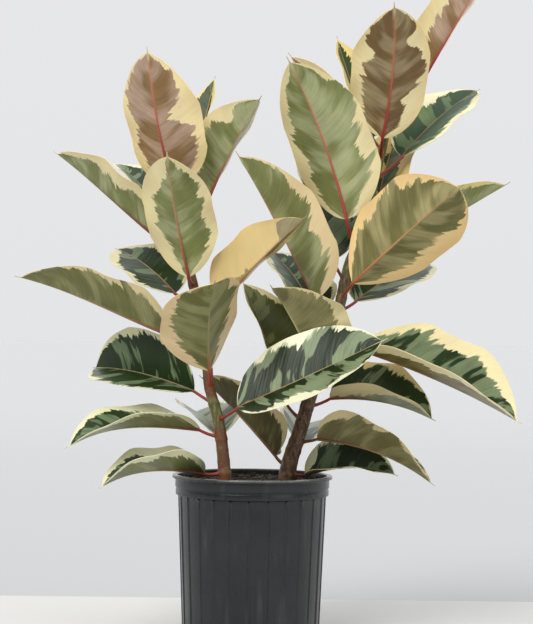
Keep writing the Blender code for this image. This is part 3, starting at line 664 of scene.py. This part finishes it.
def stemRelief(height, angle, nodes):  # rings of old leaf scars, and low lumps
    stem = stemBuild
    relief = sum(math.exp(-((height - node) / stem["scarReach"]) ** 2) for node in nodes)
    relief *= stem["scarHeight"]
    old = (height + stem["oldScarSway"] * math.sin(height * 0.045)) / stem["oldScarSpacing"]
    off = (old - round(old)) * stem["oldScarSpacing"]
    relief += stem["oldScarShare"] * stem["scarHeight"] * math.exp(-(off / stem["oldScarReach"]) ** 2)
    place = Vector((math.cos(angle) * 1.6, math.sin(angle) * 1.6, height * 0.09))
    return relief + stem["lump"] * noise.noise(place)


def makeStem(nodeName, name, leaves):
    bottom, bud = stemLines[nodeName][0][2], stemLines[nodeName][-1][2]
    steps = round((bud - bottom) / stemBuild["spacing"])
    heights = [bottom + (bud - bottom) * i / steps for i in range(steps + 1)]
    spots = [stemAt(nodeName, height) for height in heights]
    bm = bmesh.new()
    rings = tubeAlong(bm, [spot[0] for spot in spots], [spot[1] for spot in spots], stemBuild["sides"])
    nodes = [leaf["node"] for leaf in leaves]
    for ring, height, (centre, radius) in zip(rings, heights, spots):
        fade = min(1.0, radius / 5)
        for number, vert in enumerate(ring):
            out = vert.co / mm - centre
            relief = stemRelief(height, math.tau * number / len(ring), nodes)
            vert.co = (centre + out * (1 + relief * fade / radius)) * mm
    bmesh.ops.recalc_face_normals(bm, faces=bm.faces)
    return addPiece(name, bm, stemBark, nodeName)


def makeStemBark():
    desk = NodeDesk("stemBark")
    place = desk.add("ShaderNodeTexCoord").outputs["Object"]
    axes = desk.add("ShaderNodeSeparateXYZ", {"Vector": place}).outputs
    height = axes["Z"]
    rise = desk.add("ShaderNodeMapping", {"Vector": place, "Scale": (1.0, 1.0, 0.35)}).outputs[0]
    flat = desk.add("ShaderNodeMapping", {"Vector": place, "Scale": (1.0, 1.0, 4.0)}).outputs[0]
    grain = desk.cloud(rise, scale=260.0, detail=4.0)
    patches = desk.cloud(place, scale=55.0, detail=3.0)
    bands = desk.cloud(flat, scale=30.0, detail=2.0)
    side = desk.ramp(axes["X"], -0.02, 0.02)
    warm = desk.mix(side, tone(110, 62, 34), tone(54, 35, 19))
    bark = desk.mix(desk.ramp(grain, 0.35, 0.65), warm, tone(104, 74, 46))
    bark = desk.mix(desk.ramp(patches, 0.55, 0.68, 0.0, 0.7), bark, tone(128, 98, 66))
    bark = desk.mix(desk.ramp(bands, 0.6, 0.7, 0.0, 0.5), bark, tone(40, 27, 16))
    specks = desk.add("ShaderNodeTexVoronoi", {"Vector": place, "Scale": 190.0}).outputs["Distance"]
    bark = desk.mix(desk.ramp(specks, 0.1, 0.2, 0.55, 0.0), bark, tone(176, 148, 104))
    young = desk.mix(desk.ramp(grain, 0.4, 0.6), tone(84, 92, 44), tone(126, 122, 76))
    greenness = desk.ramp(height, 0.44, 0.6)
    greenness = desk.calc("MULTIPLY", greenness, desk.ramp(patches, 0.4, 0.55, 0.35, 1.0))
    band = desk.calc("MULTIPLY", desk.ramp(height, 0.3, 0.312), desk.ramp(height, 0.343, 0.353, 1.0, 0.0))
    band = desk.calc("MULTIPLY", band, desk.ramp(side, 0.3, 0.6, 0.85, 0.0))
    greenness = desk.calc("MAXIMUM", greenness, band)
    colour = desk.mix(greenness, bark, young)
    desk.put(desk.shader.inputs["Base Color"], colour)
    desk.put(desk.shader.inputs["Roughness"], desk.ramp(grain, 0.3, 0.7, 0.6, 0.42))
    desk.bump(desk.calc("ADD", grain, desk.calc("MULTIPLY", specks, -0.4)), 0.6, 0.0006)
    return desk.material


stemBark = makeStemBark()
makeStem("stem_left", "stemLeft", leftLeaves)
makeStem("stem_right", "stemRight", rightLeaves)
print("stems made")


# pot

potBuild = dict(
    lipRadius=115.0, lipTop=237.0, lipHeight=5.0, lipEdge=1.6,
    bandRadius=110.7, bandBottom=219.5, bandEdge=0.8, grooveRadius=109.4, grooveBottom=217.0,
    lowerBandRadius=110.0, lowerBandBottom=208.5, bodyTop=207.0, bodyTopRadius=105.0,
    footRadius=96.6, footEdge=1.6, wall=2.0, floorEdge=1.5,
    ribs=25, firstRib=-1.7, ribWidth=4.0, ribProud=1.3, ribBottom=14.0, ribTop=206.0,
    bodyRows=16,
)
drainBuild = dict(count=5, radius=6.0, circle=60.0, sides=32)


def wallRadius(height):
    pot = potBuild
    return pot["footRadius"] + (pot["bodyTopRadius"] - pot["footRadius"]) * height / pot["bodyTop"]


def arcPoints(centre, radius, first, last, steps):
    angles = [math.radians(first + (last - first) * i / steps) for i in range(steps + 1)]
    return [(centre[0] + radius * math.cos(angle), centre[1] + radius * math.sin(angle)) for angle in angles]


def potProfile():  # radius and height, from the floor inside, over the lip, down the outer side
    pot = potBuild
    wall, edge, low = pot["wall"], pot["lipEdge"], pot["lipTop"] - pot["lipHeight"]
    inner, foot = pot["grooveRadius"] - wall, wallRadius(wall) - wall
    points = [(0.0, wall), (foot - pot["floorEdge"], wall), (foot, wall + pot["floorEdge"])]
    points += [(pot["bodyTopRadius"] - wall, pot["bodyTop"] + wall), (inner, pot["lowerBandBottom"] + wall)]
    points += arcPoints((inner + edge, pot["lipTop"] - edge), edge, 180, 90, 4)
    points += arcPoints((pot["lipRadius"] - edge, pot["lipTop"] - edge), edge, 90, 0, 4)
    points += arcPoints((pot["lipRadius"] - edge, low + edge), edge, 0, -90, 4)
    edge = pot["bandEdge"]
    points += [(pot["bandRadius"] + edge, low), (pot["bandRadius"], low - edge)]
    points += arcPoints((pot["bandRadius"] - edge, pot["bandBottom"] + edge), edge, 0, -90, 3)
    points += [(pot["grooveRadius"], pot["bandBottom"] - 0.2), (pot["grooveRadius"], pot["grooveBottom"])]
    points += arcPoints((pot["lowerBandRadius"] - 0.6, pot["grooveBottom"] - 0.7), 0.6, 90, 0, 3)
    points += arcPoints((pot["lowerBandRadius"] - 1.0, pot["lowerBandBottom"] + 1.0), 1.0, 0, -75, 3)
    points += [(pot["bodyTopRadius"] + 0.4, pot["bodyTop"] + 0.1)]
    rows, edge = pot["bodyRows"], pot["footEdge"]
    for i in range(rows + 1):
        height = pot["ribTop"] + (edge - pot["ribTop"]) * i / rows
        points.append((wallRadius(height), height))
    points += arcPoints((pot["footRadius"] - edge, edge), edge, -25, -90, 3)
    return points + [(0.0, 0.0)]


def ribAngles():  # column angles in degrees, close together over each rib
    pot = potBuild
    pitch = 360 / pot["ribs"]
    rib = math.degrees(pot["ribWidth"] / 2 / pot["bodyTopRadius"])
    steps = (-rib - 0.25, -rib, -rib * 0.6, 0.0, rib * 0.6, rib, rib + 0.25)
    steps += tuple(rib + 0.25 + (pitch - 2 * rib - 0.5) * i / 5 for i in range(1, 5))
    return [pot["firstRib"] - 90 + pitch * k + step for k in range(pot["ribs"]) for step in steps]


def ribRelief(angle, height):
    pot = potBuild
    pitch = 360 / pot["ribs"]
    off = (angle + 90 - pot["firstRib"] + pitch / 2) % pitch - pitch / 2
    rib = math.degrees(pot["ribWidth"] / 2 / pot["bodyTopRadius"])
    ends = smoothStep(pot["ribBottom"] - 6, pot["ribBottom"], height)
    return pot["ribProud"] * (1 - smoothStep(rib * 0.72, rib + 0.2, abs(off))) * ends


def makePot():
    angles = ribAngles()
    profile = potProfile()
    bm = bmesh.new()
    ring = bmesh.ops.create_circle(bm, cap_ends=False, segments=len(angles), radius=1.0)["verts"]
    rings = []
    for radius, height in profile[1:-1]:
        if rings:
            copied = bmesh.ops.extrude_edge_only(bm, edges=loopEdges(rings[-1]))["geom"]
            ring = inOrder([item for item in copied if isinstance(item, bmesh.types.BMVert)], rings[-1])
        outside = radius > potBuild["footRadius"] - 0.5 and abs(radius - wallRadius(height)) < 0.1
        for vert, angle in zip(ring, angles):
            far = radius + (ribRelief(angle, height) if outside else 0.0)
            way = math.radians(angle)
            vert.co = Vector((math.cos(way) * far, math.sin(way) * far, height)) * mm
        rings.append(ring)
    for ring, height in ((rings[0], profile[0][1]), (rings[-1], 0.0)):
        face = bmesh.ops.contextual_create(bm, geom=loopEdges(ring))["faces"][0]
        bmesh.ops.poke(bm, faces=[face])
    bmesh.ops.recalc_face_normals(bm, faces=bm.faces)
    pot = addPiece("potShell", bm, potPlastic, "pot", smooth=40)
    drill = bmesh.new()
    for index in range(drainBuild["count"]):
        angle = math.tau * (index + 0.5) / drainBuild["count"]
        far = drainBuild["circle"] * mm
        place = Matrix.Translation((far * math.cos(angle), far * math.sin(angle), 0))
        radius = drainBuild["radius"] * mm
        bmesh.ops.create_cone(drill, cap_ends=True, segments=drainBuild["sides"], radius1=radius,
                              radius2=radius, depth=0.01, matrix=place)
    mesh = bpy.data.meshes.new("drainDrill")
    drill.to_mesh(mesh)
    drill.free()
    cutter = bpy.data.objects.new("drainDrill", mesh)
    bpy.context.scene.collection.objects.link(cutter)
    cut = pot.modifiers.new("drain", "BOOLEAN")
    cut.operation = "DIFFERENCE"
    cut.object = cutter
    graph = bpy.context.evaluated_depsgraph_get()
    pot.data = bpy.data.meshes.new_from_object(pot.evaluated_get(graph))
    pot.modifiers.clear()
    bpy.data.objects.remove(cutter)
    return pot


def makePotPlastic():
    desk = NodeDesk("potPlastic")
    place = desk.add("ShaderNodeTexCoord").outputs["Object"]
    height = desk.add("ShaderNodeSeparateXYZ", {"Vector": place}).outputs["Z"]
    soft = desk.cloud(place, scale=14.0, detail=3.0)
    fine = desk.cloud(place, scale=900.0, detail=2.0)
    stretched = desk.add("ShaderNodeMapping", {"Vector": place, "Scale": (1.0, 1.0, 0.12)}).outputs[0]
    scuff = desk.cloud(stretched, scale=70.0, detail=4.0)
    # Pale band over the top of the lip: dust, and a painted highlight along the rolled lip. Pale scuff
    # streaks are added over the whole pot.
    lipDustAndHighlight = desk.ramp(height, 0.2335, 0.2365, 0.0, 0.55)
    dustScuffsAndHighlight = desk.calc("MULTIPLY", lipDustAndHighlight, desk.ramp(soft, 0.35, 0.65, 0.3, 1.0))
    dustScuffsAndHighlight = desk.calc("ADD", dustScuffsAndHighlight, desk.ramp(scuff, 0.55, 0.75, 0.0, 0.07))
    colour = desk.mix(desk.ramp(soft, 0.3, 0.7), tone(16, 19, 22), tone(25, 29, 33))
    colour = desk.mix(dustScuffsAndHighlight, colour, tone(150, 148, 142))
    desk.put(desk.shader.inputs["Base Color"], colour)
    rough = desk.calc("MULTIPLY_ADD", desk.calc("SUBTRACT", scuff, 0.5), 0.2, 0.27)
    desk.put(desk.shader.inputs["Roughness"], rough)
    desk.bump(desk.calc("ADD", fine, desk.calc("MULTIPLY", scuff, 0.5)), 0.08, 0.0003)
    return desk.material


potPlastic = makePotPlastic()
makePot()
print("pot made")


# soil

soilBuild = dict(top=229.0, gap=0.3, lump=1.6, rings=26, steps=120, crumbs=900, perlite=26, chips=110)


def soilHeight(x, y):
    reach = math.hypot(x, y) / (potBuild["grooveRadius"] - potBuild["wall"])
    lumps = math.sin(x * 0.11 + 1.3) * math.cos(y * 0.13) + 0.6 * math.sin((x - y) * 0.19)
    fine = 1.3 * noise.noise(Vector((x * 0.21, y * 0.21, 3.0)))
    fine += 0.8 * noise.noise(Vector((x * 0.6, y * 0.6, 7.0)))
    return soilBuild["top"] + (soilBuild["lump"] * lumps + fine) * (1 - reach ** 6)


def makeSoil():
    soil, pot = soilBuild, potBuild
    inside = pot["wall"] + soil["gap"]
    edge, foot = pot["grooveRadius"] - inside, wallRadius(pot["wall"]) - inside
    profile = [(edge * i / soil["rings"], soil["top"]) for i in range(soil["rings"] + 1)]
    profile += [(edge, pot["lowerBandBottom"] + inside)]
    profile += [(pot["bodyTopRadius"] - inside, pot["bodyTop"] + inside)]
    profile += [(foot, inside + pot["floorEdge"]), (foot - pot["floorEdge"], inside), (0.0, inside)]
    bm = bmesh.new()
    tonal = bm.verts.layers.float.new("kind")
    verts = [bm.verts.new((radius * mm, 0.0, height * mm)) for radius, height in profile]
    edges = [bm.edges.new(pair) for pair in zip(verts, verts[1:])]
    bmesh.ops.spin(bm, geom=edges, cent=(0, 0, 0), axis=(0, 0, 1), angle=math.tau, steps=soil["steps"],
                   use_merge=True)
    bmesh.ops.remove_doubles(bm, verts=bm.verts, dist=0.00001)
    for vert in bm.verts:
        if vert.co.z > (soil["top"] - 0.5) * mm:
            vert.co.z = soilHeight(vert.co.x / mm, vert.co.y / mm) * mm
    bmesh.ops.recalc_face_normals(bm, faces=bm.faces)
    crumbs, perlite, chips = soil["crumbs"], soil["perlite"], soil["chips"]
    grains = ((0.0, crumbs, 1.0, 3.2), (1.0, perlite, 0.8, 2.0), (0.5, chips, 2.0, 5.5))
    for kind, count, low, high in grains:
        for _ in range(count):
            far, angle = (edge - 4) * math.sqrt(luck.random()), luck.random() * math.tau
            x, y = far * math.cos(angle), far * math.sin(angle)
            size = low + (high - low) * luck.random() ** 2
            stretch = (size, size * (0.45 if kind == 0.5 else 0.8), size * (0.3 if kind == 0.5 else 0.7))
            turn = Matrix.Rotation(luck.random() * math.tau, 4, "Z")
            turn = turn @ Matrix.Rotation(luck.uniform(-0.5, 0.5), 4, "X")
            place = Matrix.Translation((x * mm, y * mm, (soilHeight(x, y) + stretch[2] * 0.25) * mm))
            matrix = place @ turn @ Matrix.Diagonal((*(part * mm for part in stretch), 1.0))
            for vert in bmesh.ops.create_icosphere(bm, subdivisions=1, radius=1.0, matrix=matrix)["verts"]:
                vert.co += noise.noise_vector(vert.co * 700) * size * 0.25 * mm
                vert[tonal] = kind
    return addPiece("soilFill", bm, soilMix, "soil", smooth=30)


def makeSoilMix():
    desk = NodeDesk("soilMix")
    place = desk.add("ShaderNodeTexCoord").outputs["Object"]
    kind = desk.attribute("kind")
    grain = desk.cloud(place, scale=420.0, detail=5.0, rough=0.65)
    lumps = desk.cloud(place, scale=60.0, detail=3.0)
    earth = desk.mix(desk.ramp(grain, 0.35, 0.7), tone(20, 18, 15), tone(64, 56, 46))
    earth = desk.mix(desk.ramp(lumps, 0.4, 0.7, 0.0, 0.6), earth, tone(36, 33, 29))
    chips = desk.mix(desk.ramp(grain, 0.35, 0.65), tone(70, 56, 40), tone(104, 88, 66))
    colour = desk.mix(desk.ramp(kind, 0.2, 0.4), earth, chips)
    colour = desk.mix(desk.ramp(kind, 0.7, 0.9), colour, tone(206, 202, 192))
    desk.put(desk.shader.inputs["Base Color"], colour)
    desk.put(desk.shader.inputs["Roughness"], desk.ramp(grain, 0.2, 0.8, 0.98, 0.8))
    desk.bump(grain, 0.9, 0.0012)
    return desk.material


soilMix = makeSoilMix()
makeSoil()
print("soil made")


# studio: floor, table top, soft lights, camera

studio = dict(
    sensorSize=36.0, floorRadius=60.0, tableSize=(2.6, 1.7, 0.02), tableBack=0.4,
    # The floor's near tone is darker than its far tone: painted shade near the plant.
    floorTones=((187, 188, 190), (195, 196, 198)), tableTones=((209, 209, 208), (209, 209, 208)),
    airTones=((228, 229, 231), (231, 231, 234)), airPower=(0.2, 1.1),
)
# Azimuth (0 is the camera's side, 90 is +X), elevation and spread in degrees, then power and colour.
studioLights = {
    "keyLight": dict(azimuth=-32, elevation=42, spread=34, power=2.3, colour=(1.0, 0.985, 0.955)),
    "fillLight": dict(azimuth=48, elevation=24, spread=50, power=0.65, colour=(0.95, 0.975, 1.0)),
    "topLight": dict(azimuth=20, elevation=75, spread=60, power=0.7, colour=(1.0, 1.0, 1.0)),
}


def addStage(name, bm, material):
    mesh = bpy.data.meshes.new(name)
    bm.to_mesh(mesh)
    bm.free()
    mesh.materials.append(material)
    thing = bpy.data.objects.new(name, mesh)
    bpy.context.scene.collection.objects.link(thing)


def paperMaterial(name, near, far):  # plain paper, with painted shade that makes it darker near the plant when the near tone is darker
    desk = NodeDesk(name)
    place = desk.add("ShaderNodeTexCoord").outputs["Object"]
    away = desk.add("ShaderNodeVectorMath", {0: place}, operation="LENGTH").outputs["Value"]
    desk.put(desk.shader.inputs["Base Color"], desk.mix(desk.ramp(away, 0.5, 9.0), tone(*near), tone(*far)))
    desk.shader.inputs["Roughness"].default_value = 0.9
    desk.shader.inputs["Specular IOR Level"].default_value = 0.1
    return desk.material


def makeStudio():
    width, depth, thick = studio["tableSize"]
    floor = bmesh.new()
    bmesh.ops.create_circle(floor, cap_ends=True, segments=96, radius=studio["floorRadius"],
                            matrix=Matrix.Translation((0, 0, -thick)))
    addStage("studioFloor", floor, paperMaterial("floorPaper", *studio["floorTones"]))
    table = bmesh.new()
    place = Matrix.Translation((0, studio["tableBack"] - depth / 2, -thick / 2 - 0.0002))
    place = place @ Matrix.Diagonal((width, depth, thick - 0.0004, 1.0))
    bmesh.ops.create_cube(table, size=1.0, matrix=place)
    edges = [edge for edge in table.edges if min(vert.co.z for vert in edge.verts) > -0.001]
    bmesh.ops.bevel(table, geom=edges, offset=0.002, offset_type="OFFSET", affect="EDGES", segments=3,
                    profile=0.5, material=-1)
    addStage("tableTop", table, paperMaterial("tablePaper", *studio["tableTones"]))


def addSun(name, azimuth, elevation, spread, power, colour):
    light = bpy.data.lights.new(name, "SUN")
    light.energy = power
    light.angle = math.radians(spread)
    light.color = colour
    lamp = bpy.data.objects.new(name, light)
    a, e = math.radians(azimuth), math.radians(elevation)
    back = Vector((math.sin(a) * math.cos(e), -math.cos(a) * math.cos(e), math.sin(e)))
    lamp.rotation_euler = back.to_track_quat("Z", "Y").to_euler()
    bpy.context.scene.collection.objects.link(lamp)


def makeAir():  # pale behind the plant, dimmer as light on it
    world = bpy.data.worlds.new("studioAir")
    world.use_nodes = True
    tree = world.node_tree
    shade = tree.nodes["Background"]
    rise = tree.nodes.new("ShaderNodeSeparateXYZ")
    tree.links.new(tree.nodes.new("ShaderNodeTexCoord").outputs["Generated"], rise.inputs[0])
    ramp = tree.nodes.new("ShaderNodeMapRange")
    ramp.inputs["From Max"].default_value = 0.2
    tree.links.new(rise.outputs["Z"], ramp.inputs["Value"])
    seen = tree.nodes.new("ShaderNodeMix")
    seen.data_type = "RGBA"
    tree.links.new(ramp.outputs["Result"], seen.inputs[0])
    low, high = studio["airTones"]
    seen.inputs[6].default_value = (*tone(*low), 1)
    seen.inputs[7].default_value = (*tone(*high), 1)
    light = tree.nodes.new("ShaderNodeMix")
    light.data_type = "RGBA"
    tree.links.new(tree.nodes.new("ShaderNodeLightPath").outputs["Is Camera Ray"], light.inputs[0])
    behind = tree.nodes.new("ShaderNodeMapRange")
    behind.inputs["From Min"].default_value = -0.3
    behind.inputs["From Max"].default_value = 0.5
    behind.inputs["To Min"].default_value, behind.inputs["To Max"].default_value = studio["airPower"]
    tree.links.new(rise.outputs["Y"], behind.inputs["Value"])
    tree.links.new(behind.outputs["Result"], light.inputs[6])
    tree.links.new(seen.outputs[2], light.inputs[7])
    tree.links.new(light.outputs[2], shade.inputs["Color"])
    bpy.context.scene.world = world


def addCamera():
    pitch, roll = math.radians(photoView["pitch"]), math.radians(photoView["roll"])
    ahead = Vector((0.0, math.cos(pitch), math.sin(pitch)))
    right, up = Vector((1.0, 0.0, 0.0)), Vector((0.0, -math.sin(pitch), math.cos(pitch)))
    across = right * math.cos(roll) + up * math.sin(roll)
    above = up * math.cos(roll) - right * math.sin(roll)
    data = bpy.data.cameras.new("photoCamera")
    data.sensor_width = studio["sensorSize"]
    data.lens = studio["sensorSize"] * photoView["focalPixels"] / photoView["height"]
    camera = bpy.data.objects.new("photoCamera", data)
    turn = Matrix((across, above, -ahead)).transposed().to_4x4()
    camera.matrix_world = Matrix.Translation(Vector(photoView["place"]) * mm) @ turn
    bpy.context.scene.collection.objects.link(camera)
    bpy.context.scene.camera = camera


makeStudio()
for name, light in studioLights.items():
    addSun(name, **light)
makeAir()
addCamera()
bpy.context.scene.view_settings.view_transform = "Standard"
print("studio ready")
